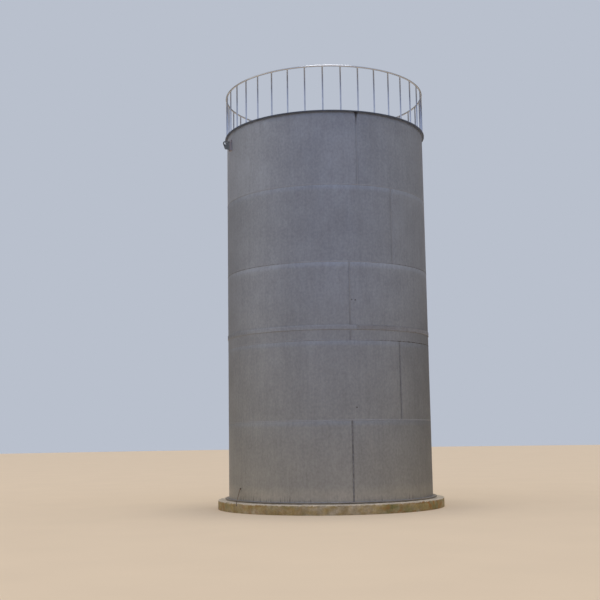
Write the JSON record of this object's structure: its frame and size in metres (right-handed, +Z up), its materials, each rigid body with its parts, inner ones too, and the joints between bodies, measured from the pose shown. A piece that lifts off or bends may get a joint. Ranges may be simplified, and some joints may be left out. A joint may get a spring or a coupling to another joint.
{
  "type": "vertical storage tank",
  "caption": "Upright cylindrical storage tank of welded stainless steel plate on a round concrete plinth, with a cone roof, a roof guardrail and a rear ladder.",
  "frame": {"origin": "on the tank's axis at ground level, at the middle of the plinth's underside", "axes": "+Z up along the tank's axis, +Y towards the ladder at the back, -Y towards the front seen in the picture"},
  "size_m": [4.58, 4.58, 8.586],
  "materials": {
    "plate_steel": "matte mill-finish stainless plate with faint rolling streaks and dark weld seams",
    "pipe_steel": "satin stainless pipe",
    "edge_paint": "weathered dark paint on the edge ring",
    "concrete": "cast concrete, stained olive-brown, worn pale along the top edge",
    "bitumen": "black bitumen and sand bed",
    "strap_metal": "dark tarnished metal strap"
  },
  "bodies": {
    "root": {"band_left": "plate_steel", "band_right": "plate_steel", "bitumen_bed": "bitumen", "bottom_plate": "plate_steel", "concrete_plinth": "concrete", "earth_strap": "strap_metal", "edge_ring_front": "edge_paint", "edge_ring_rear": "edge_paint", "guardrail_1": "pipe_steel", "guardrail_2": "pipe_steel", "guardrail_3": "pipe_steel", "guardrail_4": "pipe_steel", "guardrail_5": "pipe_steel", "guardrail_6": "pipe_steel", "ladder_bracket_1": "plate_steel", "ladder_bracket_2": "plate_steel", "ladder_bracket_3": "plate_steel", "ladder_bracket_4": "plate_steel", "ladder_handrail_left": "pipe_steel", "ladder_handrail_right": "pipe_steel", "ladder_lower": "pipe_steel", "ladder_upper": "pipe_steel", "lifting_lug_1": "plate_steel", "lifting_lug_2": "plate_steel", "manhole_cover": "plate_steel", "manhole_neck": "plate_steel", "roof_crown": "plate_steel", "roof_plate_1": "plate_steel", "roof_plate_2": "plate_steel", "roof_plate_3": "plate_steel", "roof_plate_4": "plate_steel", "roof_plate_5": "plate_steel", "roof_plate_6": "plate_steel", "roof_vent": "plate_steel", "wall_course_1_plate_1": "plate_steel", "wall_course_1_plate_2": "plate_steel", "wall_course_2_plate_1": "plate_steel", "wall_course_2_plate_2": "plate_steel", "wall_course_3_plate_1": "plate_steel", "wall_course_3_plate_2": "plate_steel", "wall_course_4_plate_1": "plate_steel", "wall_course_4_plate_2": "plate_steel", "wall_course_5_plate_1": "plate_steel", "wall_course_5_plate_2": "plate_steel"}
  },
  "joints": []
}
